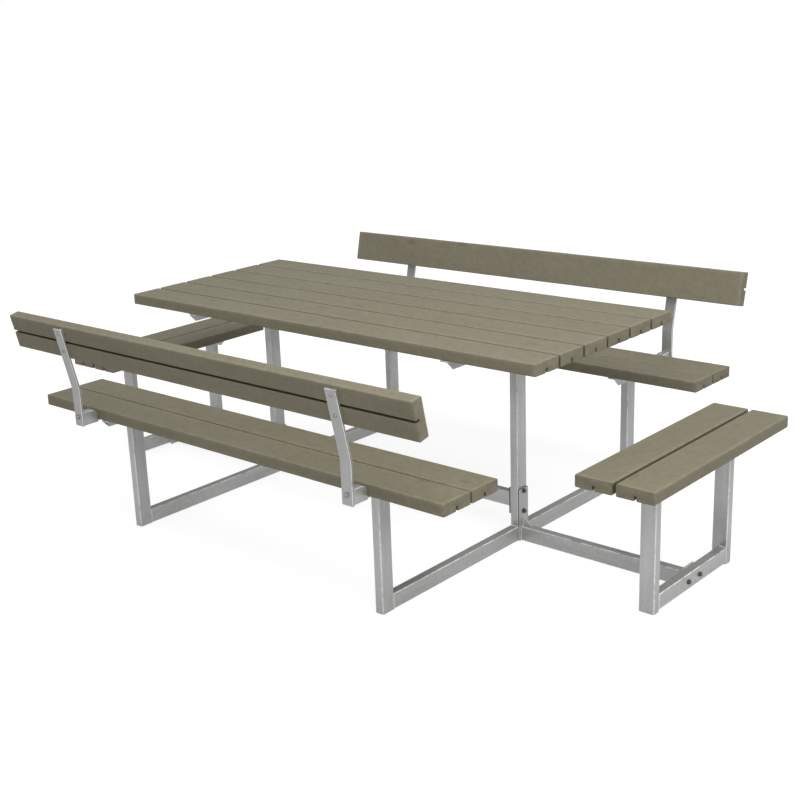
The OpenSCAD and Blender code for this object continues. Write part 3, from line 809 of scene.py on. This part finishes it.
def wear_and_highlight_group():
    """Along the edges, broken up by noise: wear from hands, shoes and weather on the wood, a painted
    highlight on the steel.
    """
    tree, given, result = new_tree("Edge wear and highlight", "ShaderNodeTree", {
        "Vector": ("Vector", None), "Edge": ("Float", 0.0), "Size": ("Float", 40.0), "Amount": ("Float", 0.5),
    }, {"Mask": ("Float", None)})
    broken = ramp(tree, noise(tree, given["Vector"], given["Size"], 5.0, 0.65), 0.32, 0.62)
    mask = times(tree, times(tree, given["Edge"], broken), given["Amount"], clamp=True)
    tree.links.new(mask, result["Mask"])
    return tree


def splash_group():
    """Dull splash marks that fade out above the ground."""
    tree, given, result = new_tree("Ground splash", "ShaderNodeTree", {
        "Vector": ("Vector", None), "Height": ("Float", 0.12), "Amount": ("Float", 0.4),
    }, {"Mask": ("Float", None)})
    height = parted(tree, given["Vector"])[2]
    fade = minus(tree, 1.0, over(tree, height, given["Height"]), clamp=True)
    specks = ramp(tree, noise(tree, given["Vector"], 120.0, 6.0, 0.7), 0.45, 0.62)
    mask = times(tree, times(tree, fade, specks), given["Amount"], clamp=True)
    tree.links.new(mask, result["Mask"])
    return tree


def placed(tree, group, **inputs):
    """A shared pattern placed in a material: its outputs."""
    item = add(tree, "ShaderNodeGroup", node_tree=library(group))
    feed(tree, item, **inputs)
    return item.outputs


# ---------- materials ----------

def new_material(name):
    """A material with its node tree, its shader and its object coordinates."""
    material = bpy.data.materials.new(name)
    material.use_nodes = True
    tree = material.node_tree
    place = tree.nodes.new("ShaderNodeTexCoord").outputs["Object"]
    return material, tree, tree.nodes["Principled BSDF"], place


def attribute(tree, name, output="Fac"):
    """A value that the shape stored on its points."""
    return add(tree, "ShaderNodeAttribute", attribute_name=name).outputs[output]


def feed(tree, item, **inputs):
    """Feeds a node's inputs by name, with _ for each space."""
    for key, value in inputs.items():
        put(tree, item.inputs[key.replace("_", " ")], value)


def relief(tree, height, distance):
    """Normal bent by a height pattern, its depth in metres."""
    return add(tree, "ShaderNodeBump", {"Height": height, "Distance": distance, "Strength": 1.0}).outputs[0]


def knot_mask(tree, along, across):
    """Sparse knots: 1 inside one, the distance from the nearest cell's middle, and 1 where it has a knot."""
    flat = joined(tree, times(tree, along, 3.4), times(tree, across, 9.0), 0.0)
    cells = add(tree, "ShaderNodeTexVoronoi", {"Vector": flat, "Scale": 1.0, "Randomness": 0.9},
                voronoi_dimensions="2D")
    pick = parted(tree, cells.outputs["Color"])
    kept = ramp(tree, pick[0], 0.74, 0.76)
    size = plus_share(tree, 0.045, pick[1], 0.055)
    away = over(tree, cells.outputs["Distance"], size)
    inside = times(tree, ramp(tree, away, 0.75, 1.15, 1.0, 0.0), kept)
    return inside, away, kept


def stained_wood(planks):
    """Stained softwood: growth rings from a pith outside the plank, fibres, knots and end grain."""
    material, tree, shader, _ = new_material("Stained softwood")
    grain = attribute(tree, "grain", "Vector")
    tone, edge, end, dirt_and_shade_mask = (attribute(tree, name) for name in ("tone", "edge", "end", "cavity"))
    along, across, deep = parted(tree, grain)
    inside, away, kept = knot_mask(tree, along, across)
    pull = times(tree, calc(tree, "POWER", 2.718, times(tree, away, -0.55)), kept)
    slow = noise(tree, joined(tree, times(tree, along, 1.3), across, deep), 2.4, 2.0)
    warp = times(tree, minus(tree, slow, 0.5), 0.085)
    pith_y = times(tree, minus(tree, tone, 0.5), 0.12)
    ring_y = plus(tree, plus(tree, across, pith_y), warp)
    ring_z = plus_share(tree, plus(tree, deep, PITH_DEPTH), pull, 0.012)
    radius = vector_calc(tree, "LENGTH", joined(tree, ring_y, ring_z, 0.0)).node.outputs[1]
    wobble = times(tree, noise(tree, grain, 38.0, 2.0), 0.0035)
    phase = calc(tree, "FRACT", over(tree, plus(tree, radius, wobble), RING_WIDTH))
    late = calc(tree, "POWER", phase, 3.0)
    fibre_at = vector_calc(tree, "MULTIPLY", grain, (14.0, 620.0, 620.0))
    fibre = noise(tree, fibre_at, 1.0, 3.0, 0.6)
    cloud = placed(tree, "Mottle", Vector=vector_calc(tree, "MULTIPLY", grain, (0.5, 1.4, 1.4)),
                   Coarse=5.0, Fine=46.0, Share=0.4)["Value"]
    along_share = times(tree, minus(tree, 1.0, end), 0.26)
    dark = times(tree, late, plus_share(tree, along_share, end, 0.45))
    dark = plus_share(tree, dark, minus(tree, fibre, 0.5), 0.42)
    dark = plus_share(tree, dark, minus(tree, cloud, 0.5), 0.75)
    dark = plus_share(tree, dark, minus(tree, tone, 0.5), 0.34)
    dark = plus_share(tree, dark, end, 0.26)
    dark = plus(tree, dark, 0.22, clamp=True)
    colour = blend(tree, dark, planks.stain_light, planks.stain_dark)
    colour = blend(tree, times(tree, inside, 0.4), colour, planks.knot_colour)
    wear_and_highlight = placed(tree, "Edge wear and highlight", Vector=grain, Edge=edge, Size=34.0, Amount=0.55)["Mask"]
    colour = blend(tree, times(tree, wear_and_highlight, 0.45), colour, (0.40, 0.365, 0.285))
    crack_at = vector_calc(tree, "MULTIPLY", grain, (5.0, 260.0, 260.0))
    crack = ramp(tree, noise(tree, crack_at, 1.0, 2.0), 0.69, 0.76)
    crack = times(tree, crack, plus_share(tree, 0.25, end, 0.6))
    colour = blend(tree, crack, colour, planks.knot_colour)
    # dirt in the groove, and painted shade on the plank sides in the gaps
    colour = blend(tree, times(tree, dirt_and_shade_mask, 0.72), colour, planks.dirt_and_shade_colour)
    rough = plus_share(tree, 0.52, cloud, 0.16)
    rough = plus_share(tree, rough, wear_and_highlight, 0.08)
    height = plus_share(tree, times(tree, fibre, 0.5), late, 0.25)
    height = minus(tree, height, times(tree, crack, 1.2))
    height = plus_share(tree, height, inside, 0.4)
    feed(tree, shader, Base_Color=colour, Roughness=rough, Normal=relief(tree, height, 0.35 * MM),
         Specular_IOR_Level=0.5)
    return material


def zinc_coat(name, light, dark, look):
    """Hot-dip or plated zinc: crystals, dull clouds, runs, painted highlights along the edges, a painted
    shadow line round plates on posts, and splash marks by the ground.
    """
    material, tree, shader, place = new_material(name)
    tone, edge, dirt_and_shade_mask = (attribute(tree, key) for key in ("tone", "edge", "cavity"))
    crystals = placed(tree, "Zinc crystals", Vector=place, Crystals_per_metre=look["crystals"],
                      Ragged=look["ragged"])
    cloud = placed(tree, "Mottle", Vector=place, Coarse=5.0, Fine=38.0, Share=0.4)["Value"]
    bloom = ramp(tree, cloud, 0.40, 0.64)
    run_at = vector_calc(tree, "MULTIPLY", attribute(tree, "run", "Vector"), (5.0, 110.0, 110.0))
    run = minus(tree, noise(tree, run_at, 1.0, 1.0), 0.5)
    pale = times(tree, crystals["Grey"], 0.09)
    pale = plus_share(tree, pale, bloom, 0.16)
    pale = plus_share(tree, pale, run, 0.45)
    pale = plus_share(tree, pale, minus(tree, tone, 0.5), look["tone"])
    pale = plus(tree, pale, look["base"], clamp=True)
    colour = blend(tree, pale, dark, light)
    # painted highlight along the rounded corners and bevels
    wear_and_highlight = placed(tree, "Edge wear and highlight", Vector=place, Edge=edge, Size=22.0, Amount=2.6)["Mask"]
    colour = blend(tree, times(tree, wear_and_highlight, 0.9), colour, (1.0, 1.0, 0.99))
    splash = placed(tree, "Ground splash", Vector=place, Height=0.11, Amount=0.3)["Mask"]
    colour = blend(tree, splash, colour, (0.30, 0.285, 0.25))
    # painted shadow on the narrow faces of plates against a post, kept off the ground
    above_ground = ramp(tree, parted(tree, place)[2], 45 * MM, 60 * MM)
    shadow = times(tree, times(tree, dirt_and_shade_mask, 0.85), above_ground)
    colour = blend(tree, shadow, colour, (0.05, 0.05, 0.048))
    rough = ramp(tree, crystals["Grey"], 0.1, 0.9, look["smooth"], look["dull"])
    rough = plus_share(tree, rough, bloom, 0.08)
    rough = plus_share(tree, rough, splash, 0.3, clamp=True)
    rough = minus(tree, rough, times(tree, wear_and_highlight, 0.1), clamp=True)
    # splash marks and the painted highlight both take metal away, so the highlight reads bright
    dulled = times(tree, calc(tree, "MAXIMUM", splash, wear_and_highlight), 0.5)
    metallic = minus(tree, look["metal"], dulled, clamp=True)
    height = plus_share(tree, crystals["Relief"], cloud, 1.5)
    feed(tree, shader, Base_Color=colour, Roughness=rough, Metallic=metallic,
         Normal=relief(tree, height, 0.035 * MM))
    return material


def studio_floor(colour, glow):
    """Pale, even studio floor with the faintest clouds."""
    material, tree, shader, place = new_material("Studio floor")
    cloud = placed(tree, "Mottle", Vector=place, Coarse=1.2, Fine=30.0, Share=0.2)["Value"]
    path = tree.nodes.new("ShaderNodeLightPath").outputs
    seen = plus_share(tree, path["Is Camera Ray"], path["Is Glossy Ray"], GLOSSY_FLOOR)
    feed(tree, shader, Base_Color=blend(tree, cloud, colour, [part * 1.04 for part in colour]),
         Roughness=plus_share(tree, 0.72, cloud, 0.15), Specular_IOR_Level=0.1,
         Emission_Color=blend(tree, seen, (0.0, 0.0, 0.0), (1.0, 1.0, 1.0)), Emission_Strength=glow)
    return material


MAKERS = {
    "Plank": plank_tree,
    "Tube": tube_tree,
    "Weld": weld_tree,
    "Fasteners": scatter_tree,
    "Mottle": mottle_group,
    "Zinc crystals": crystal_group,
    "Edge wear and highlight": wear_and_highlight_group,
    "Ground splash": splash_group,
}


def library(name):
    """A node group by its name, built the first time it's asked for."""
    return bpy.data.node_groups.get(name) or MAKERS[name]()


def finish_of(slot):
    """The material of a slot, built the first time it's asked for."""
    scene = bpy.context.scene
    planks, steel = scene.picnic_planks, scene.picnic_steel
    names = {WOOD_SLOT: "Stained softwood", STEEL_SLOT: "Galvanised steel", ZINC_SLOT: "Plated fasteners"}
    ready = bpy.data.materials.get(names[slot])
    if ready:
        return ready
    if slot == WOOD_SLOT:
        return stained_wood(planks)
    if slot == STEEL_SLOT:
        return zinc_coat(names[slot], steel.zinc_light, steel.zinc_dark, {
            "crystals": 70.0, "ragged": 0.012, "tone": 0.16, "base": 0.34, "metal": 0.72, "smooth": 0.28,
            "dull": 0.42})
    return zinc_coat(names[slot], steel.fastener_light, steel.fastener_dark, {
        "crystals": 420.0, "ragged": 0.002, "tone": 0.45, "base": 0.1, "metal": 0.9, "smooth": 0.3,
        "dull": 0.5})


# ---------- building the groups of pieces ----------

def plank_frame(node):
    """Place of a plank's own frame: X along it, Z away from its groove, and its length."""
    middle, size = spread_out(*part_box(node))
    if node in END_PLANKS:
        return Matrix.Translation(middle) @ Matrix.Rotation(math.pi / 2, 4, "Z"), size.y
    if node in BACKREST_PLANKS:
        lean = bpy.context.scene.picnic_planks.lean
        outward = 1 if middle.y > 0 else -1
        tilt = Matrix.Rotation(outward * (math.pi / 2 - lean), 4, "X")
        return Matrix.Translation(middle) @ tilt, size.x
    return Matrix.Translation(middle), size.x


def neighbours(node):
    """Whether another plank lies close to a plank's -Y and +Y long sides, in the plank's own frame."""
    if node in BACKREST_PLANKS:
        return 0.0, 0.0
    row = [other for other in TABLE_PLANKS + SEAT_PLANKS + END_PLANKS
           if other.split("_")[0] == node.split("_")[0]]
    matrix = plank_frame(node)[0].inverted()
    places = [(matrix @ plank_frame(other)[0].translation).y for other in row if other != node]
    return float(min(places) < 0.0), float(max(places) > 0.0)


def make_planks(nodes, shade=0.0):
    """A finished plank for each CAD plank."""
    settings = bpy.context.scene.picnic_planks
    width, thickness = (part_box(TABLE_PLANKS[0])[1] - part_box(TABLE_PLANKS[0])[0])[1:]
    order = TABLE_PLANKS + SEAT_PLANKS + END_PLANKS + BACKREST_PLANKS
    for node in nodes:
        matrix, length = plank_frame(node)
        below, above = neighbours(node)
        piece = grown(node.replace("plank", "board"), library("Plank"), {
            "Length": length, "Width": width, "Thickness": thickness, "Edge radius": settings.edge_round,
            "Groove width": settings.groove_width, "Groove depth": settings.groove_depth,
            "End ease": settings.end_ease, "Waviness": settings.waviness,
            "Neighbour below": below, "Neighbour above": above, "Shade": shade,
            "Rings": int(length / SECTION_STEP) + 2 * RINGS_PER_END, "Seed": order.index(node) + 1,
            "Material": finish_of(WOOD_SLOT)})
        piece.data.transform(matrix)
        settle(piece, WOOD_SLOT, node)


def make_tubes(nodes):
    """A finished hollow tube for each straight CAD tube."""
    steel = bpy.context.scene.picnic_steel
    turns = (Matrix.Identity(4), Matrix.Rotation(math.pi / 2, 4, "Z"), Matrix.Rotation(-math.pi / 2, 4, "Y"))
    for seed, node in enumerate(nodes, 11):
        middle, size = spread_out(*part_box(node))
        axis = max(range(3), key=lambda k: size[k])
        height, width = ((size.y, size.z), (size.x, size.z), (size.y, size.x))[axis]
        piece = grown(node + "_steel", library("Tube"), {
            "Length": size[axis], "Width": width, "Height": height, "Wall": steel.wall,
            "Corner radius": steel.corner, "Seed": seed, "Material": finish_of(STEEL_SLOT)})
        piece.data.transform(Matrix.Translation(middle) @ turns[axis])
        settle(piece, STEEL_SLOT, node)


def make_plates(nodes, ease=None, rim_shadow_reach=0.0, shade=0.0):
    """A finished plate or bar for each CAD plate or bar."""
    steel = bpy.context.scene.picnic_steel
    for node in nodes:
        eased(node, ease or steel.plate_ease, rim_shadow_reach, shade)


def seams(node, axis, end, sides, sink=0.0):
    """Lines round one end of a tube: sides are (axis, sign) pairs, sink sets the bead below the face."""
    lo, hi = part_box(node)
    corner = bpy.context.scene.picnic_steel.corner
    lines = []
    for across, sign in sides:
        other = 3 - axis - across
        start = Vector((0.0, 0.0, 0.0))
        start[axis] = hi[axis] if end > 0 else lo[axis]
        start[across] = (hi[across] if sign > 0 else lo[across]) - sign * sink
        stop = start.copy()
        start[other], stop[other] = lo[other] + corner, hi[other] - corner
        lines.append((start, stop))
    return lines


def weld_lines():
    """All weld runs: where posts, tubes, plates and angle bars meet."""
    x, y, z = 0, 1, 2
    flush = 0.75 * bpy.context.scene.picnic_steel.bead
    lines = []
    for node in FLOOR_TUBES:
        for end in (-1, 1):
            lines += seams(node, y, end, [(z, 1)])
            lines += seams(node, y, end, [(x, -1), (x, 1)], flush)
    for node in TALL_POSTS:
        lines += seams(node, z, -1, [(y, -1), (y, 1)])
        lines += seams(node, z, -1, [(x, -1), (x, 1)], flush)
    for node in TALL_POSTS + BENCH_POSTS:
        lines += seams(node, z, 1, [(y, -1), (y, 1)])
    for node in END_POSTS:
        lines += seams(node, z, 1, [(x, -1), (x, 1)])
    for node in CROSS_TUBES:
        outer = 1 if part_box(node)[0].x > 0 else -1
        for end in (-1, 1):
            lines += seams(node, y, end, [(z, 1), (x, -outer)])
            lines += seams(node, y, end, [(x, outer)], flush)
    for end in (-1, 1):
        lines += seams("stretcher", x, end, [(y, -1), (y, 1), (z, -1), (z, 1)])
        for node in ARMS:
            lines += seams(node, x, end, [(y, -1), (y, 1), (z, 1)])
    return lines


def make_welds():
    """Every weld bead, as one piece."""
    steel = bpy.context.scene.picnic_steel
    lines = weld_lines()
    source = bpy.data.meshes.new("weld_runs")
    points = [point for line in lines for point in line]
    source.from_pydata(points, [(2 * k, 2 * k + 1) for k in range(len(lines))], [])
    piece = grown("weld_beads", library("Weld"), {
        "Bead radius": steel.bead, "Seed": 3, "Material": finish_of(STEEL_SLOT)}, source)
    settle(piece, STEEL_SLOT)


def make_camera(stage):
    """A camera at the eye point, turned by its heading, pitch and roll."""
    camera = bpy.data.objects.new("camera", bpy.data.cameras.new("camera"))
    bpy.context.scene.collection.objects.link(camera)
    turn = Matrix.Rotation(stage.heading, 4, "Z") @ Matrix.Rotation(math.pi / 2 + stage.pitch, 4, "X")
    camera.matrix_world = Matrix.Translation(stage.eye) @ turn @ Matrix.Rotation(stage.roll, 4, "Z")
    camera.data.lens = stage.lens
    camera.data.shift_x = stage.shift
    camera.data.clip_end = 100.0
    bpy.context.scene.camera = camera


def make_lamp(name, place, size, power):
    """A soft square lamp that looks at the middle of the table."""
    lamp = bpy.data.objects.new(name, bpy.data.lights.new(name, "AREA"))
    lamp.data.shape = "SQUARE"
    lamp.data.size = size
    lamp.data.energy = power
    lamp.location = place
    lamp.rotation_euler = (Vector((0.0, 0.0, 0.4)) - Vector(place)).to_track_quat("-Z", "Y").to_euler()
    bpy.context.scene.collection.objects.link(lamp)


def make_stage(stage):
    """Floor, even sky, two soft lamps and plain colour handling."""
    half = FLOOR_HALF
    floor_mesh = bpy.data.meshes.new("studio_floor")
    corners = [(-half, -half, 0.0), (half, -half, 0.0), (half, half, 0.0), (-half, half, 0.0)]
    floor_mesh.from_pydata(corners, [], [(0, 1, 2, 3)])
    floor_mesh.materials.append(studio_floor(stage.floor_colour, stage.floor_glow))
    new_object("studio_floor", floor_mesh)
    world = bpy.data.worlds.new("studio")
    world.use_nodes = True
    tree = world.node_tree
    path = tree.nodes.new("ShaderNodeLightPath").outputs
    even, dimmed = ([stage.sky * share] * 3 for share in (1.0, GLOSSY_SKY))
    unseen = blend(tree, path["Is Glossy Ray"], even, dimmed)
    backdrop = blend(tree, path["Is Camera Ray"], unseen, (1.0, 1.0, 1.0))
    tree.links.new(backdrop, tree.nodes["Background"].inputs["Color"])
    bpy.context.scene.world = world
    make_lamp("key", KEY_PLACE, KEY_SIZE, stage.key)
    make_lamp("fill", FILL_PLACE, FILL_SIZE, stage.key * FILL_SHARE)
    bpy.context.scene.view_settings.view_transform = "Standard"


# ---------- operators ----------

class PICNIC_OT_table_top(bpy.types.Operator):
    """Build the six planks of the tabletop"""
    bl_idname = "picnic.table_top"
    bl_label = "Tabletop"

    def execute(self, context):
        make_planks(TABLE_PLANKS)
        return {"FINISHED"}


class PICNIC_OT_long_seats(bpy.types.Operator):
    """Build the seat planks of both long benches"""
    bl_idname = "picnic.long_seats"
    bl_label = "Long seats"

    def execute(self, context):
        make_planks(SEAT_PLANKS, 0.35)
        return {"FINISHED"}


class PICNIC_OT_end_seats(bpy.types.Operator):
    """Build the seat planks of both end benches"""
    bl_idname = "picnic.end_seats"
    bl_label = "End seats"

    def execute(self, context):
        make_planks(END_PLANKS, 0.35)
        return {"FINISHED"}


class PICNIC_OT_backrests(bpy.types.Operator):
    """Build the backrest planks, groove outwards"""
    bl_idname = "picnic.backrests"
    bl_label = "Backrests"

    def execute(self, context):
        make_planks(BACKREST_PLANKS)
        return {"FINISHED"}


class PICNIC_OT_frames(bpy.types.Operator):
    """Build the tubes of the main frames and the stretcher"""
    bl_idname = "picnic.frames"
    bl_label = "Main frames"

    def execute(self, context):
        make_tubes(FLOOR_TUBES + TALL_POSTS + BENCH_POSTS + ["stretcher"])
        return {"FINISHED"}


class PICNIC_OT_end_frames(bpy.types.Operator):
    """Build the tubes of the end benches and the extension arms"""
    bl_idname = "picnic.end_frames"
    bl_label = "End frames"

    def execute(self, context):
        make_tubes(ARMS + END_POSTS + CROSS_TUBES)
        return {"FINISHED"}


class PICNIC_OT_angle_bars(bpy.types.Operator):
    """Build the angle bars under the tabletop and the seats"""
    bl_idname = "picnic.angle_bars"
    bl_label = "Angle bars"

    def execute(self, context):
        make_plates(TABLE_BEAMS + SEAT_ARMS + END_SEAT_ARMS)
        return {"FINISHED"}


class PICNIC_OT_plates(bpy.types.Operator):
    """Build the bolted plates of the stretcher and the extension arms"""
    bl_idname = "picnic.plates"
    bl_label = "Bolted plates"

    def execute(self, context):
        post_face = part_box(TALL_POSTS[1])[1].x
        make_plates(["arm_end_plates"])
        make_plates(["stretcher_end_plates"] + POST_PLATES, rim_shadow_reach=post_face + PLATE_REACH)
        return {"FINISHED"}


class PICNIC_OT_supports(bpy.types.Operator):
    """Build the bent backrest supports and their brackets"""
    bl_idname = "picnic.supports"
    bl_label = "Backrest supports"

    def execute(self, context):
        make_plates(SUPPORTS, 1.2 * MM, shade=-1.5)
        make_plates(["support_brackets"])
        return {"FINISHED"}


class PICNIC_OT_caps(bpy.types.Operator):
    """Build the caps in the feet of the posts"""
    bl_idname = "picnic.caps"
    bl_label = "Foot caps"

    def execute(self, context):
        make_plates(["tube_caps"], 0.4 * MM)
        return {"FINISHED"}


class PICNIC_OT_welds(bpy.types.Operator):
    """Lay the weld beads of the steel frames"""
    bl_idname = "picnic.welds"
    bl_label = "Welds"

    def execute(self, context):
        make_welds()
        return {"FINISHED"}


class PICNIC_OT_screws(bpy.types.Operator):
    """Drive the wood screws and the coach screws"""
    bl_idname = "picnic.screws"
    bl_label = "Screws"

    def execute(self, context):
        sizes = context.scene.picnic_fasteners
        for node in ("table_screws", "bench_screws", "end_bench_screws"):
            fasteners(node, lambda length: screw_shape(sizes.screw_d, length), 0.5)
        fasteners("backrest_screws", lambda length: screw_shape(sizes.coach_d, length), 1.15)
        return {"FINISHED"}


class PICNIC_OT_bolts(bpy.types.Operator):
    """Fit the bolts, washers and nuts"""
    bl_idname = "picnic.bolts"
    bl_label = "Bolts"

    def execute(self, context):
        sizes = context.scene.picnic_fasteners
        for node, shade in (("bracket_bolts", 0.95), ("post_bolts", -0.4), ("end_plate_bolts", 0.0)):
            fasteners(node, lambda length: bolt_shape(sizes.bolt_d, length), shade)
        return {"FINISHED"}


class PICNIC_OT_stage(bpy.types.Operator):
    """Set up the camera, the floor and the lights"""
    bl_idname = "picnic.stage"
    bl_label = "Stage"

    def execute(self, context):
        make_camera(context.scene.picnic_stage)
        make_stage(context.scene.picnic_stage)
        return {"FINISHED"}


OPERATORS = (
    PICNIC_OT_stage, PICNIC_OT_table_top, PICNIC_OT_long_seats, PICNIC_OT_end_seats, PICNIC_OT_backrests,
    PICNIC_OT_frames, PICNIC_OT_end_frames, PICNIC_OT_angle_bars, PICNIC_OT_plates, PICNIC_OT_supports,
    PICNIC_OT_caps, PICNIC_OT_welds, PICNIC_OT_screws, PICNIC_OT_bolts,
)


class PICNIC_PT_builder(bpy.types.Panel):
    """Sidebar panel with the table's settings and its building steps"""
    bl_idname = "PICNIC_PT_builder"
    bl_label = "Picnic Table"
    bl_space_type = "VIEW_3D"
    bl_region_type = "UI"
    bl_category = "Picnic Table"

    def draw(self, context):
        for key in SETTINGS:
            box = self.layout.box()
            group = getattr(context.scene, key)
            for name in group.__annotations__:
                box.prop(group, name)
        for operator in OPERATORS:
            self.layout.operator(operator.bl_idname)


CLASSES = (*SETTINGS.values(), *OPERATORS, PICNIC_PT_builder)


def register():
    """Registers every class and hangs the settings on the scene."""
    for item in CLASSES:
        bpy.utils.register_class(item)
    for key, group in SETTINGS.items():
        setattr(bpy.types.Scene, key, PointerProperty(type=group))


def unregister():
    """Takes the settings and the classes away again."""
    for key in SETTINGS:
        delattr(bpy.types.Scene, key)
    for item in reversed(CLASSES):
        bpy.utils.unregister_class(item)


def main():
    """Builds everything in order."""
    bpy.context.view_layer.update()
    register()
    for operator in OPERATORS:
        group, name = operator.bl_idname.split(".")
        getattr(getattr(bpy.ops, group), name)()


if __name__ == "__main__":
    main()
